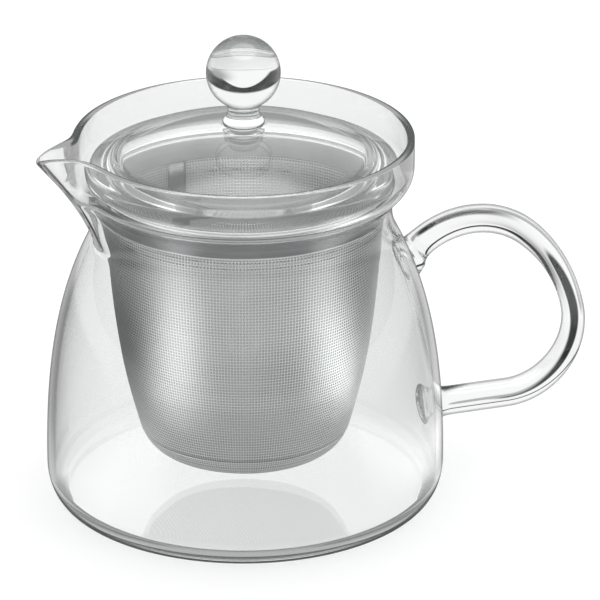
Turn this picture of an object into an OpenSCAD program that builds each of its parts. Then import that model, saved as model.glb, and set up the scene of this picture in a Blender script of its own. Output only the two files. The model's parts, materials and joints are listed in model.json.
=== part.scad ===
// Glass teapot with a pulled beak, a bent rod handle, a domed glass lid with a
// ball knob, and a lift-out steel mesh strainer.
// The origin is the middle of the flat foot, on the pot's axis. +Z is up,
// the beak points to -X and the handle to +X.

/* [Pot] */
// Widest outer diameter of the pot, low on its belly
belly_d = 96; // [93:0.5:100]
// Height at which the pot is widest
belly_h = 8; // [6:0.5:12]
// Diameter of the flat foot
foot_d = 86; // [80:0.5:88]
// Narrowest outer diameter, at the neck
neck_d = 70.4; // [69:0.2:73]
// Height of the neck
neck_h = 72.5; // [70:0.5:76]
// How far the rim stands out beyond the neck, on each side
rim_out = 5.2; // [4.4:0.1:6]
// Height of the rim
rim_h = 91.2; // [89:0.2:96]
// Thickness of the blown wall
wall = 1.6; // [1.4:0.1:1.8]
// Thickness of the glass in the floor
floor_t = 2.4; // [1.8:0.1:3.2]

/* [Pot curves] */
// Slope of the shoulder where it runs into the neck, in degrees from upright
shoulder_slope = 28; // [22:1:34]
// Radius of the hollow bend under the neck
neck_bend = 13; // [11:0.5:15]
// Radius of the hollow bend above the neck
flare_bend = 8; // [7:0.5:9.5]
// Radius of the full bend where the collar turns upright
cup_bend = 6.5; // [5.5:0.5:7.5]
// How strongly the belly holds its width on the way up
side_pull = 24; // [18:1:30]
// How strongly the shoulder leans in before the neck
shoulder_pull = 18; // [14:1:22]

/* [Beak] */
// How far the tip of the beak stands out beyond the rim
tip_out = 10.8; // [8:0.2:13]
// Angle to each side of the middle within which the beak is pulled out
beak_half_angle = 32; // [26:1:38]
// Angle over which the beak's width falls away, which sets how pointed it is
beak_width = 7.2; // [6:0.2:9]
// Rounding of the tip, as an angle about the pot's axis
beak_round = 1.2; // [0.6:0.1:2]
// How far the tip dips under the rim
tip_drop = 0.8; // [0:0.1:2]
// How far the lip stands up beside the tip
lip_lift = 1.4; // [0:0.1:2]

/* [Handle] */
// Diameter of the glass rod
rod_d = 6.4; // [5.6:0.1:7.2]
// Distance from the pot's axis to the top of the handle
handle_top_x = 58; // [55:0.5:61]
// Height of the rod's middle at the top of the handle
handle_top_h = 62.2; // [60:0.2:65]
// Bend radius over the top
top_bend = 21.7; // [20:0.1:23]
// Bend radius down the back
back_bend = 38; // [35:0.5:40]
// Bend radius at the bottom
low_bend = 17.4; // [16:0.1:18.5]
// Diameter of the fused foot at each end of the rod
weld_d = 10.4; // [8.6:0.2:12]
// Length over which a fused foot narrows down to the rod
weld_l = 3.4; // [2.6:0.2:4.6]

/* [Lid] */
// Clear width between the lid's edge and the collar
lid_side_gap = 2.2; // [1.8:0.1:2.8]
// Thickness of the lid's edge, from its seat up to the dome
lid_edge_h = 5.4; // [4.8:0.1:6.2]
// Height of the dome above the edge
lid_rise = 8.6; // [7:0.2:10]
// Thickness of the glass in the dome
lid_t = 2.6; // [2:0.1:3.2]
// Width of the ring that rests on the strainer
lid_ring_w = 5.6; // [4.8:0.1:6.4]
// Rounding at the lower outer corner of the edge
lid_low_round = 2.6; // [2:0.1:2.8]
// Rounding at the upper outer corner of the edge
lid_top_round = 1.5; // [1:0.1:2]

/* [Knob] */
// Diameter of the ball
ball_d = 17.6; // [15:0.2:20]
// Height of the ball's middle above the lid
ball_h = 13.5; // [12:0.1:15]
// Diameter of the stem under the ball
stem_d = 8; // [7:0.2:9]
// Diameter of the bead where the stem meets the lid
bead_d = 10; // [9.4:0.2:11.4]
// Height of that bead
bead_h = 2.6; // [2:0.1:3.2]

/* [Strainer] */
// How far up the collar's bend the strainer sits, as an angle
seat_angle = 38; // [34:1:42]
// Running gap between the strainer's flange and the glass
seat_gap = 0.3; // [0.2:0.05:0.5]
// Running gap between the strainer and the neck
neck_gap = 0.6; // [0.4:0.1:0.9]
// Thickness of the flange
flange_t = 0.8; // [0.6:0.1:1]
// Thickness of the steel band round the top
band_t = 0.6; // [0.4:0.1:0.8]
// Depth of that band under the flange
band_h = 5.6; // [4.4:0.2:7]
// Thickness of the inner band that clamps the mesh
hem_t = 0.5; // [0.4:0.1:0.7]
// How much shorter the inner band is than the outer one
hem_step = 0.8; // [0.4:0.1:1.2]
// Thickness of the woven mesh
mesh_t = 0.5; // [0.4:0.05:0.6]
// Length of the mesh that runs straight down below the band before it narrows
straight_run = 3; // [2:0.5:6]
// Outer radius of the mesh wall at its lower edge
basket_low_r = 25.6; // [24:0.2:28]
// Height of the wall's lower edge
basket_low_h = 17.6; // [16:0.2:21]
// Height of the basket's flat bottom
basket_floor_h = 12; // [10:0.2:14]
// Height by which the pressed bottom overlaps the wall inside
dish_lap = 3; // [2:0.2:5]
// Width of the lap where the rolled mesh sheet meets itself
seam_w = 5; // [3:0.5:8]
// Direction of that lap about the axis
seam_angle = 103; // [40:1:150]

/* [Hidden] */
$fn = 144;

GLASS = [0.84, 0.90, 0.89, 0.35];
STEEL = [0.72, 0.73, 0.74];
MESH = [0.58, 0.59, 0.60];

// Steps in the curves.
side_steps = 14;
bend_steps = 6;
lip_steps = 4;
dome_steps = 14;
beak_steps = 14;

// An arc of points about c, from angle a0 to a1.
function arc(c, r, a0, a1, steps) =
    [for (i = [0 : steps]) let (a = a0 + (a1 - a0) * i / steps) c + r * [cos(a), sin(a)]];

// A curve from a to d, leaving towards b and arriving from c.
function curve(a, b, c, d, steps) =
    [for (i = [0 : steps]) let (t = i / steps, u = 1 - t)
        u * u * u * a + 3 * u * u * t * b + 3 * u * t * t * c + t * t * t * d];

// The same points, moved by w to the left of the way they run.
function beside(p, w) =
    [for (i = [0 : len(p) - 1])
        let (d = p[min(i + 1, len(p) - 1)] - p[max(i - 1, 0)]) p[i] + w * [-d[1], d[0]] / norm(d)];

function reversed(p) = [for (i = [len(p) - 1 : -1 : 0]) p[i]];
function all_but_last(p) = [for (i = [0 : len(p) - 2]) p[i]];

// The pot's outline, as [radius, height].
belly_r = belly_d / 2;
foot_r = foot_d / 2;
neck_r = neck_d / 2;
rim_r = neck_r + rim_out;
beak_reach = rim_r + tip_out;
flare_slope = acos(1 - (rim_r - neck_r) / (flare_bend + cup_bend));
neck_mid = [neck_r + neck_bend, neck_h];
flare_mid = [neck_r + flare_bend, neck_h];
cup_mid = [rim_r - cup_bend, neck_h + (flare_bend + cup_bend) * sin(flare_slope)];
shoulder = neck_mid - neck_bend * [cos(shoulder_slope), sin(shoulder_slope)];
lip_r = wall / 2;

// The foot turns up into the belly on a quarter of an ellipse.
foot_out = [for (p = arc([0, 0], 1, -90, 0, bend_steps + 2))
    [foot_r + (belly_r - foot_r) * p[0], belly_h * (1 + p[1])]];
side_out = curve([belly_r, belly_h], [belly_r, belly_h + side_pull],
    shoulder + shoulder_pull * [sin(shoulder_slope), -cos(shoulder_slope)], shoulder, side_steps);
lower_out = concat(foot_out, [for (i = [1 : side_steps]) side_out[i]]);

// The inside follows it one wall thickness in, above the floor. It stops where
// the inner neck bend reaches the shoulder's height, so that the cut is level.
lower_in = [for (p = beside(lower_out, wall)) if (p[1] > floor_t + wall && p[1] < shoulder[1] - wall) p];
cut_in_angle = asin((neck_h - shoulder[1]) / (neck_bend + wall));
floor_in_r = foot_r - wall;

// The collar above the shoulder, outside and inside, with as many points each.
collar_out = concat(
    arc(neck_mid, neck_bend, 180 + shoulder_slope, 180, bend_steps),
    [for (i = [1 : bend_steps]) flare_mid - flare_bend * [cos(i * flare_slope / bend_steps),
        -sin(i * flare_slope / bend_steps)]],
    [for (i = [1 : bend_steps]) let (a = flare_slope * (i / bend_steps - 1))
        cup_mid + cup_bend * [cos(a), sin(a)]],
    arc([rim_r - lip_r, rim_h - lip_r], lip_r, 0, 90, lip_steps));
collar_in = concat(
    arc(neck_mid, neck_bend + wall, 180 + cut_in_angle, 180, bend_steps),
    [for (i = [1 : bend_steps]) flare_mid - (flare_bend + wall) * [cos(i * flare_slope / bend_steps),
        -sin(i * flare_slope / bend_steps)]],
    [for (i = [1 : bend_steps]) let (a = flare_slope * (i / bend_steps - 1))
        cup_mid + (cup_bend - wall) * [cos(a), sin(a)]],
    arc([rim_r - lip_r, rim_h - lip_r], lip_r, 180, 90, lip_steps));
collar_steps = len(collar_out) - 1;
collar_loop = concat(collar_out, [for (i = [collar_steps - 1 : -1 : 0]) collar_in[i]]);

// How far the beak is pulled out at an angle to its middle: 1 at the middle, 0 at its sides.
beak_fall = 1.2;
function beak_pull(a) =
    let (soft = sqrt(a * a + beak_round * beak_round) - beak_round, side = a / beak_half_angle)
    exp(-pow(soft / beak_width, beak_fall)) * pow(1 - side * side, 2);

// The lip's rise beside the tip, and its dip at the tip.
function lip_shift(a) = let (k = abs(a) / beak_width)
    lip_lift * k * exp(1 - k) * pow(1 - pow(a / beak_half_angle, 2), 2) - tip_drop * beak_pull(a);

// The beak's keel runs from the shoulder to the tip in a nearly straight line.
keel_ease = 1.4;
lip_ease = 3;
// The beak's columns crowd together towards its middle.
beak_crowding = 1.6;
function up_collar(z) = max((z - shoulder[1]) / (rim_h - shoulder[1]), 0);
function keel_r(z) = shoulder[0] + (beak_reach - shoulder[0]) * pow(up_collar(z), keel_ease);

// Outer radius of the collar without its beak, at a height.
base_table = [for (i = [0 : collar_steps - lip_steps]) [collar_out[i][1], collar_out[i][0]]];
function base_r(z) = lookup(z, base_table);

// The beak's walls are a hair inside the collar's, with a foot that runs on down
// into the shoulder, so its foot and both sides end inside the glass they join.
beak_inset = 0.05;
beak_sink = 0.6;
beak_lap = 1;
function rooted(p) = concat([p[0] - beak_sink * (p[1] - p[0]) / norm(p[1] - p[0])], p);
beak_out = rooted(beside(collar_out, beak_inset));
beak_in = rooted(beside(collar_in, -beak_inset));
beak_rows = len(beak_out) - 1;
beak_loop = concat(beak_out, [for (i = [beak_rows - 1 : -1 : 0]) beak_in[i]]);
loop = len(beak_loop);

// How far each point of the beak's outline goes out at its middle, and how much
// of the lip's rise it takes.
loop_z = [for (i = [0 : loop - 1]) beak_loop[i][1]];
keel_out = [for (z = loop_z) max(keel_r(z) - base_r(z), 0)];
lip_share = [for (z = loop_z) pow(up_collar(z), lip_ease)];

// The beak's outline at an angle to its middle, as points in space.
function beak_ring(a) = [for (i = [0 : loop - 1])
    let (r = beak_loop[i][0] + beak_pull(a) * keel_out[i])
        [-r * cos(a), -r * sin(a), beak_loop[i][1] + lip_shift(a) * lip_share[i]]];

// Where the strainer's flange sits in the collar's lower bend.
seat_out = flare_bend + wall + seat_gap;
flange_r = flare_mid[0] - seat_out * cos(seat_angle);
flange_z = neck_h + seat_out * sin(seat_angle);
rest_z = flange_z + flange_t;

// The strainer's top, from outside to inside: band, mesh, inner band.
band_r = neck_r - wall - neck_gap;
mesh_r = band_r - band_t;
hem_r = mesh_r - mesh_t;
hem_lip_t = flange_t / 2;
band_low_z = flange_z - band_h;
hem_low_z = band_low_z + hem_step;
mesh_top_z = rest_z - hem_lip_t;
straight_h = band_low_z - straight_run;

// The mesh wall bows in from its straight top to its lower edge on one arc.
bow_drop = straight_h - basket_low_h;
bow_in = mesh_r - basket_low_r;
bow_r = (bow_drop * bow_drop + bow_in * bow_in) / (2 * bow_in);
bow_angle = asin(bow_drop / bow_r);
function bow(inset) = arc([mesh_r - bow_r, straight_h], bow_r - inset, 0, -bow_angle, dome_steps);

// The pressed bottom, which fits inside the wall with a hair's gap.
dish_gap = 0.1;
dish_in = mesh_t + dish_gap;
dish_angle = asin(dish_lap / bow_r);
dish_corner = basket_low_h - basket_floor_h;
dish_low = bow(dish_in)[dome_steps];

// The lid, resting on the flange, with a ring under its edge and a flat land for the knob.
land_margin = 0.2;
edge_turn = 60;
lid_r = rim_r - wall - lid_side_gap;
edge_top_z = rest_z + lid_edge_h;
dome_foot_r = lid_r - lid_top_round;
dome_r = (dome_foot_r * dome_foot_r + lid_rise * lid_rise) / (2 * lid_rise);
dome_mid_z = edge_top_z + lid_rise - dome_r;
knob_land_r = bead_d / 2 + land_margin;
ring_r = lid_r - lid_ring_w;
ring_round = lid_ring_w * 0.2;
function dome_z(r, inset) = dome_mid_z + sqrt(pow(dome_r - inset, 2) - r * r);
knob_z = dome_z(knob_land_r, 0);

// The knob, on the flat land at the top of the dome.
ball_r = ball_d / 2;
stem_r = stem_d / 2;
bead_r = bead_d / 2;
ball_z = knob_z + ball_h;
stem_angle = asin(stem_r / ball_r);

// The handle's bends: over the top, down the back, under the bottom. A short
// straight run after the first two is a hair thicker than the rod and laps both bends.
top_end = 50;
back_end = 12;
rod_straight = 0.4;
join_lap = 0.3;
join_swell = 0.1;
rod_r = rod_d / 2;
weld_r = weld_d / 2;
top_mid = [handle_top_x, handle_top_h - top_bend];
back_mid = top_mid - (back_bend - top_bend) * [cos(top_end), sin(top_end)]
    + rod_straight * [sin(top_end), -cos(top_end)];
low_mid = back_mid + (back_bend - low_bend) * [cos(back_end), sin(back_end)]
    + rod_straight * [sin(back_end), -cos(back_end)];
low_arm_z = low_mid[1] - low_bend;

// Where the rod's middle meets the glass, above and below.
function side_r(z) = lookup(z, [for (p = lower_out) [p[1], p[0]]]);
function top_arc_x(z) = top_mid[0] - sqrt(pow(top_bend, 2) - pow(z - top_mid[1], 2));
function meet_z(z, tries) = tries == 0 ? z : meet_z(
    top_mid[1] + sqrt(pow(top_bend, 2) - pow(top_mid[0] - side_r(z), 2)), tries - 1);
top_weld_z = meet_z(handle_top_h - rod_d, 8);
top_weld_x = side_r(top_weld_z);
top_start = atan2(top_weld_z - top_mid[1], top_weld_x - top_mid[0]);
low_weld_x = side_r(low_arm_z);
// Both ends of the rod and both feet start inside the wall; the top end by an angle.
weld_sink = wall;
weld_bite = 0.3;
top_sink = 4;

// A solid of revolution with a [radius, height] outline.
module turned(outline) {
    rotate_extrude() polygon(outline);
}

// The round pot, with the stretch of its collar that makes way for the beak cut out.
module vessel() {
    half_gap = beak_half_angle - beak_lap;
    far = beak_reach / cos(half_gap);
    difference() {
        turned(concat([[0, 0]], all_but_last(lower_out), collar_loop, reversed(lower_in),
            [[floor_in_r, floor_t], [0, floor_t]]));
        translate([0, 0, shoulder[1]]) linear_extrude(rim_h)
            polygon([[0, 0], far * [-cos(half_gap), sin(half_gap)], far * [-cos(half_gap), -sin(half_gap)]]);
    }
}

// The stretch of the collar that is pulled out into the beak.
module beak() {
    columns = 2 * beak_steps;
    points = [for (j = [-beak_steps : beak_steps]) let (u = j / beak_steps)
        each beak_ring(beak_half_angle * sign(u) * pow(abs(u), beak_crowding))];
    sides = [for (j = [0 : columns - 1], i = [0 : loop - 1]) let (k = (i + 1) % loop)
        for (f = [[j * loop + i, j * loop + k, (j + 1) * loop + k],
                  [j * loop + i, (j + 1) * loop + k, (j + 1) * loop + i]]) f];
    caps = [for (i = [0 : beak_rows - 1])
        for (f = [[i, loop - 1 - i, i + 1], [i + 1, loop - 1 - i, loop - 2 - i]]) if (f[0] != f[2]) f];
    far_cap = [for (f = caps) [for (i = [2 : -1 : 0]) f[i] + columns * loop]];
    polyhedron(points, concat(sides, caps, far_cap), convexity = 6);
}

module pot_body() {
    color(GLASS) union() {
        vessel();
        beak();
    }
}

// One bend of the rod, in the upright plane through the axis.
module rod_bend(mid, r, a0, a1) {
    translate([mid[0], 0, mid[1]]) rotate([90, 0, 0]) rotate([0, 0, a1])
        rotate_extrude(angle = a0 - a1) translate([r, 0]) circle(d = rod_d);
}

// Something placed at the end of a bend at angle a, running on along the rod.
module rod_on(mid, r, a) {
    translate([mid[0], 0, mid[1]]) rotate([90, 0, 0]) rotate([0, 0, a]) translate([r, 0, 0])
        rotate([90, 0, 0]) children();
}

// The straight run between two bends.
module rod_join() {
    translate([0, 0, -join_lap]) cylinder(d = rod_d + join_swell, h = rod_straight + 2 * join_lap);
}

// A fused foot: a short cone that starts inside the wall and narrows into the rod.
module weld(x, z, tilt) {
    translate([x, 0, z]) rotate([0, tilt, 0]) translate([0, 0, -weld_sink])
        cylinder(r1 = weld_r, r2 = rod_r - weld_bite, h = weld_sink + weld_l);
}

// The rod's bends and lower arm, with the fused feet cut to the side of the pot.
module handle() {
    color(GLASS) difference() {
        union() {
            rod_bend(top_mid, top_bend, top_start + top_sink, top_end);
            rod_on(top_mid, top_bend, top_end) rod_join();
            rod_bend(back_mid, back_bend, top_end, back_end);
            rod_on(back_mid, back_bend, back_end) rod_join();
            rod_bend(low_mid, low_bend, back_end, -90);
            rod_on(low_mid, low_bend, -90) cylinder(d = rod_d, h = low_mid[0] - low_weld_x + weld_sink);
            weld(low_weld_x, low_arm_z, 90);
            weld(top_weld_x, top_weld_z, 180 - top_start);
        }
        turned(concat([[0, 0]], lower_out, [[0, shoulder[1]]]));
    }
}

module lid_disc() {
    color(GLASS) turned(concat(
        arc([ring_r + ring_round, rest_z + ring_round], ring_round, 180, 270, bend_steps),
        arc([lid_r - lid_low_round, rest_z + lid_low_round], lid_low_round, -90, 0, bend_steps),
        arc([lid_r - lid_top_round, edge_top_z - lid_top_round], lid_top_round, 0, edge_turn, bend_steps),
        [for (i = [0 : dome_steps]) let (r = dome_foot_r + (knob_land_r - dome_foot_r) * i / dome_steps)
            [r, dome_z(r, 0)]],
        [[0, knob_z]],
        [for (i = [0 : dome_steps]) let (r = ring_r * i / dome_steps) [r, dome_z(r, lid_t)]]));
}

module lid_knob() {
    color(GLASS) turned(concat(
        [[0, knob_z]],
        arc([bead_r - bead_h / 2, knob_z + bead_h / 2], bead_h / 2, -90, edge_turn, bend_steps),
        [[stem_r, knob_z + bead_h]],
        arc([0, ball_z], ball_r, stem_angle - 90, 90, 4 * bend_steps)));
}

// The flange that sits in the collar, and the steel band that hangs from it.
module strainer_rim() {
    color(STEEL) turned([[mesh_r, band_low_z], [band_r, band_low_z], [band_r, flange_z],
        [flange_r, flange_z], [flange_r, rest_z], [mesh_r, rest_z]]);
}

// The inner band, with a lip that covers the cut edge of the mesh.
module strainer_hem() {
    color(STEEL) turned([[hem_r - hem_t, hem_low_z], [hem_r, hem_low_z], [hem_r, mesh_top_z],
        [mesh_r, mesh_top_z], [mesh_r, rest_z], [hem_r - hem_t, rest_z]]);
}

// The rolled mesh sheet, with the lap where it meets itself.
module strainer_wall() {
    color(MESH) union() {
        turned(concat([[mesh_r, mesh_top_z]], bow(0), reversed(bow(mesh_t)), [[hem_r, mesh_top_z]]));
        lap = 2 * asin(seam_w / 2 / mesh_r);
        rotate([0, 0, seam_angle - lap / 2]) rotate_extrude(angle = lap)
            polygon(concat(bow(-mesh_t / 2), reversed(bow(mesh_t / 2))));
    }
}

// The pressed bottom: a flat disc, a round corner and a rim inside the wall.
module strainer_bottom() {
    color(MESH) turned(concat(
        [[0, basket_floor_h]],
        arc([dish_low[0] - dish_corner, basket_low_h], dish_corner, -90, 0, bend_steps),
        arc([mesh_r - bow_r, straight_h], bow_r - dish_in, -bow_angle, dish_angle - bow_angle, bend_steps),
        arc([mesh_r - bow_r, straight_h], bow_r - dish_in - mesh_t, dish_angle - bow_angle, -bow_angle,
            bend_steps),
        arc([dish_low[0] - dish_corner, basket_low_h], dish_corner - mesh_t, 0, -90, bend_steps),
        [[0, basket_floor_h + mesh_t]]));
}

pot_body();
handle();
lid_disc();
lid_knob();
strainer_rim();
strainer_hem();
strainer_wall();
strainer_bottom();
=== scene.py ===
import json
import math

import bmesh
import bpy
from bpy.props import FloatProperty, FloatVectorProperty, IntProperty, PointerProperty
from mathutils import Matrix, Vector

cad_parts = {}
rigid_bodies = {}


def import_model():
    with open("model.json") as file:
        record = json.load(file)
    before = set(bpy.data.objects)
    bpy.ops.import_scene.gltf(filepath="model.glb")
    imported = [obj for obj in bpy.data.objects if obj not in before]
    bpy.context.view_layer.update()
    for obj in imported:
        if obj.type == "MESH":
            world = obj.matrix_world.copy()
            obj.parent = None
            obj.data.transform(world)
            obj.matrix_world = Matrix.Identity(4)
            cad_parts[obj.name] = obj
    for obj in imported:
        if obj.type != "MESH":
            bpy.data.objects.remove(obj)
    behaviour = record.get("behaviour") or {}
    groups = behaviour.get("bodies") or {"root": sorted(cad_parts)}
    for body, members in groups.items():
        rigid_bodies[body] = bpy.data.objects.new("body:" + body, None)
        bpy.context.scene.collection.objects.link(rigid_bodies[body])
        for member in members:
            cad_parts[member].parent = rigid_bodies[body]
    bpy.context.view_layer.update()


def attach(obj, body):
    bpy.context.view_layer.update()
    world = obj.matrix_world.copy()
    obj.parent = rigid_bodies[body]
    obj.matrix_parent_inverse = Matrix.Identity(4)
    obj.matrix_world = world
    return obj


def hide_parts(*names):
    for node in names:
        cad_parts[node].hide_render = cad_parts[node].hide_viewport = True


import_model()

bl_info = {
    "name": "Glass Strainer Teapot",
    "version": (1, 0, 0),
    "blender": (4, 5, 0),
    "location": "3D View > Sidebar > Teapot",
    "description": "Dresses the packed teapot in blown glass and woven steel, and sets up its studio",
    "category": "Object",
}

MM = 0.001
# A hair's gap that keeps neighbours from touching, in millimetres.
HAIR = 0.03

# The pot's outline, in millimetres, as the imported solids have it.
WALL = 1.6
FLOOR_T = 2.4
FLOOR_ROUND = 4.5
BELLY_R, BELLY_H, FOOT_R = 48.0, 8.0, 43.0
NECK_R, NECK_H = 35.2, 72.5
RIM_R, RIM_H = 40.4, 91.2
SHOULDER_SLOPE, NECK_BEND, FLARE_BEND, CUP_BEND = 28.0, 13.0, 8.0, 6.5
SIDE_PULL, SHOULDER_PULL = 24.0, 18.0
FLARE_SLOPE = math.degrees(math.acos(1 - (RIM_R - NECK_R) / (FLARE_BEND + CUP_BEND)))
SHOULDER = (
    NECK_R + NECK_BEND * (1 - math.cos(math.radians(SHOULDER_SLOPE))),
    NECK_H - NECK_BEND * math.sin(math.radians(SHOULDER_SLOPE)),
)

# The beak, pulled out of the collar.
BEAK_REACH, BEAK_HALF, BEAK_WIDTH, BEAK_ROUND = 51.2, 32.0, 7.2, 1.2
TIP_DROP, LIP_LIFT = 0.8, 1.4
BEAK_FALL, KEEL_EASE, LIP_EASE = 1.2, 1.4, 3.0

# The strainer, hanging in the collar.
FLANGE_T, SEAT_GAP, SEAT_ANGLE = 0.8, 0.3, 38.0
BAND_T, BAND_H, NECK_GAP, HEM_T, HEM_STEP, MESH_T = 0.6, 5.6, 0.6, 0.5, 0.8, 0.5
SEAT_OUT = FLARE_BEND + WALL + SEAT_GAP
FLANGE_R = NECK_R + FLARE_BEND - SEAT_OUT * math.cos(math.radians(SEAT_ANGLE))
FLANGE_Z = NECK_H + SEAT_OUT * math.sin(math.radians(SEAT_ANGLE))
REST_Z = FLANGE_Z + FLANGE_T
BAND_R = NECK_R - WALL - NECK_GAP
MESH_R = BAND_R - BAND_T
HEM_R = MESH_R - MESH_T
BAND_LOW = FLANGE_Z - BAND_H
STRAIGHT_H, BASKET_R, BASKET_H, BASKET_FLOOR = 70.0, 25.6, 17.6, 12.0
# Height over which the wall thins towards its foot, its share of thickness there, and the bottom's lap.
CLOSING_H, FOOT_SHARE, DISH_LAP = 14.0, 0.1, 3.0
BOW_R = ((STRAIGHT_H - BASKET_H) ** 2 + (MESH_R - BASKET_R) ** 2) / (2 * (MESH_R - BASKET_R))
BOW_ANGLE = math.degrees(math.asin((STRAIGHT_H - BASKET_H) / BOW_R))

# The mesh's lap, as the angle it stands at in degrees and its width, and the rows of welds.
LAP_AT, LAP_WIDTH, LAP_TUCK = 103.0, 5.0, 0.3
WELD_DROPS, WELD_STEP = (1.2, 2.9), 0.85

# The lid, resting on the flange, and its knob.
LID_R = RIM_R - WALL - 2.2
LID_EDGE_Z = REST_Z + 5.4
LID_RISE, LID_T, LID_RING = 8.6, 2.6, 5.6
LID_LOW_ROUND, LID_TOP_ROUND = 2.6, 1.5
DOME_FOOT = LID_R - LID_TOP_ROUND
DOME_R = (DOME_FOOT**2 + LID_RISE**2) / (2 * LID_RISE)
DOME_MID = LID_EDGE_Z + LID_RISE - DOME_R
BALL_R, STEM_R, BEAD_R, BEAD_H = 8.8, 4.0, 5.0, 2.6
KNOB_LAND = BEAD_R + 0.2
KNOB_Z = DOME_MID + math.sqrt(DOME_R**2 - KNOB_LAND**2)
BALL_Z = KNOB_Z + 13.5

# The handle: the middle of its top bend, the radii of its three bends, and the angles where two of them end.
TOP_MID = (58.0, 40.5)
TOP_BEND, BACK_BEND, LOW_BEND = 21.7, 38.0, 17.4
TOP_END, BACK_END = 50.0, 12.0
# How widely the rod's waist spreads along it, and how far and how sharply its fused ends flare.
WAIST_SPREAD, FLARE_REACH, FLARE_FALL = 0.17, 1.7, 1.4

# Directions in the studio: the handle points 18 degrees away from square on.
TURN = math.radians(18.0)
RIGHT = Vector((math.cos(TURN), -math.sin(TURN), 0))
AWAY = Vector((math.sin(TURN), math.cos(TURN), 0))
UP = Vector((0, 0, 1))

# The lens: height it looks from in degrees, distance, the height it aims at, focal length and frame in
# pixels, and where in the frame it puts the point it aims at.
LENS_TILT, LENS_AWAY, LENS_AIM = 22.6, 1.1, 0.055
FOCAL, FRAME, SENSOR = 4603.5, 600, 36
AIM_ACROSS, AIM_DOWN = 244.5, 275.5

WHITE = (1, 1, 1, 1)


# ---------------------------------------------------------------- outlines


def arc(centre, radius, first, last, steps):
    """Points [r, z] on an arc, both ends included."""
    points = []
    for i in range(steps + 1):
        a = math.radians(first + (last - first) * i / steps)
        points.append((centre[0] + radius * math.cos(a), centre[1] + radius * math.sin(a)))
    return points


def bezier(a, b, c, d, steps):
    """Points on a cubic curve from a to d."""
    points = []
    for i in range(steps + 1):
        t = i / steps
        u = 1 - t
        w = (u * u * u, 3 * u * u * t, 3 * u * t * t, t * t * t)
        points.append(tuple(sum(k * p[n] for k, p in zip(w, (a, b, c, d))) for n in (0, 1)))
    return points


def beside(points, width):
    """The same run of points, moved to the left of the way they run."""
    moved = []
    for i, p in enumerate(points):
        q, s = points[min(i + 1, len(points) - 1)], points[max(i - 1, 0)]
        dr, dz = q[0] - s[0], q[1] - s[1]
        size = math.hypot(dr, dz)
        moved.append((p[0] - width * dz / size, p[1] + width * dr / size))
    return moved


def between(table, z):
    """A radius read from a run of points that rises."""
    if z <= table[0][1]:
        return table[0][0]
    for low, high in zip(table, table[1:]):
        if z <= high[1]:
            share = (z - low[1]) / max(high[1] - low[1], 1e-9)
            return low[0] + (high[0] - low[0]) * share
    return table[-1][0]


def pot_side():
    """The pot's outside from the edge of the foot up to the shoulder."""
    foot = [
        (FOOT_R + (BELLY_R - FOOT_R) * math.cos(a), BELLY_H * (1 + math.sin(a)))
        for a in (math.radians(-90 + 90 * i / 14) for i in range(15))
    ]
    slope = math.radians(SHOULDER_SLOPE)
    pull = (
        SHOULDER[0] + SHOULDER_PULL * math.sin(slope),
        SHOULDER[1] - SHOULDER_PULL * math.cos(slope),
    )
    side = bezier((BELLY_R, BELLY_H), (BELLY_R, BELLY_H + SIDE_PULL), pull, SHOULDER, 44)
    return foot + side[1:]


def collar(offset):
    """The collar's outside, or a line that far inside it, from the shoulder to below the lip."""
    neck = (NECK_R + NECK_BEND, NECK_H)
    flare = (NECK_R + FLARE_BEND, NECK_H)
    slope = math.radians(FLARE_SLOPE)
    cup = (RIM_R - CUP_BEND, NECK_H + (FLARE_BEND + CUP_BEND) * math.sin(slope))
    run = arc(neck, NECK_BEND + offset, 180 + SHOULDER_SLOPE, 180, 12)
    run += arc(flare, FLARE_BEND + offset, 180, 180 - FLARE_SLOPE, 12)[1:]
    run += arc(cup, CUP_BEND - offset, -FLARE_SLOPE, 0, 12)[1:]
    return run


def pot_outline():
    """The whole pot, outside up to the lip and down the inside, as [r, z] points."""
    outside = pot_side()
    lip = WALL / 2
    turn_z = FLOOR_T + FLOOR_ROUND
    inside = [p for p in beside(outside, WALL) if turn_z < p[1] < SHOULDER[1] - WALL]
    corner = arc((inside[0][0] - FLOOR_ROUND, turn_z), FLOOR_ROUND, 0, -90, 10)
    outline = outside + collar(0)[1:]
    outline += arc((RIM_R - lip, RIM_H - lip), lip, 0, 180, 14)
    outline += collar(WALL)[::-1]
    outline += inside[::-1] + corner
    return outline


# ------------------------------------------------------------------ meshes


def mesh_piece(name, points, faces, body, replaces=(), smooth=True):
    """An object from points in millimetres, riding on a body and standing for CAD nodes."""
    mesh = bpy.data.meshes.new(name)
    mesh.from_pydata([Vector(p) * MM for p in points], [], faces)
    work = bmesh.new()
    work.from_mesh(mesh)
    bmesh.ops.recalc_face_normals(work, faces=work.faces)
    work.to_mesh(mesh)
    work.free()
    mesh.polygons.foreach_set("use_smooth", [smooth] * len(mesh.polygons))
    piece = bpy.data.objects.new(name, mesh)
    bpy.context.scene.collection.objects.link(piece)
    if not len(mesh.polygons):
        raise RuntimeError(name + " came out empty")
    if body:
        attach(piece, body)
    if replaces:
        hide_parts(*replaces)
    return piece


def skinned(points, outline, columns, closed):
    """Faces over columns of points, each as long as the outline. Ends that are open close on the axis."""
    rows = len(outline)
    faces = []
    for j in range(columns):
        k = (j + 1) % columns
        for i in range(rows if closed else rows - 1):
            n = (i + 1) % rows
            faces.append((j * rows + i, k * rows + i, k * rows + n, j * rows + n))
    if not closed:
        for row in (0, rows - 1):
            centre = len(points)
            points.append((0, 0, outline[row][1]))
            for j in range(columns):
                faces.append((centre, j * rows + row, ((j + 1) % columns) * rows + row))
    return points, faces


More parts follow.
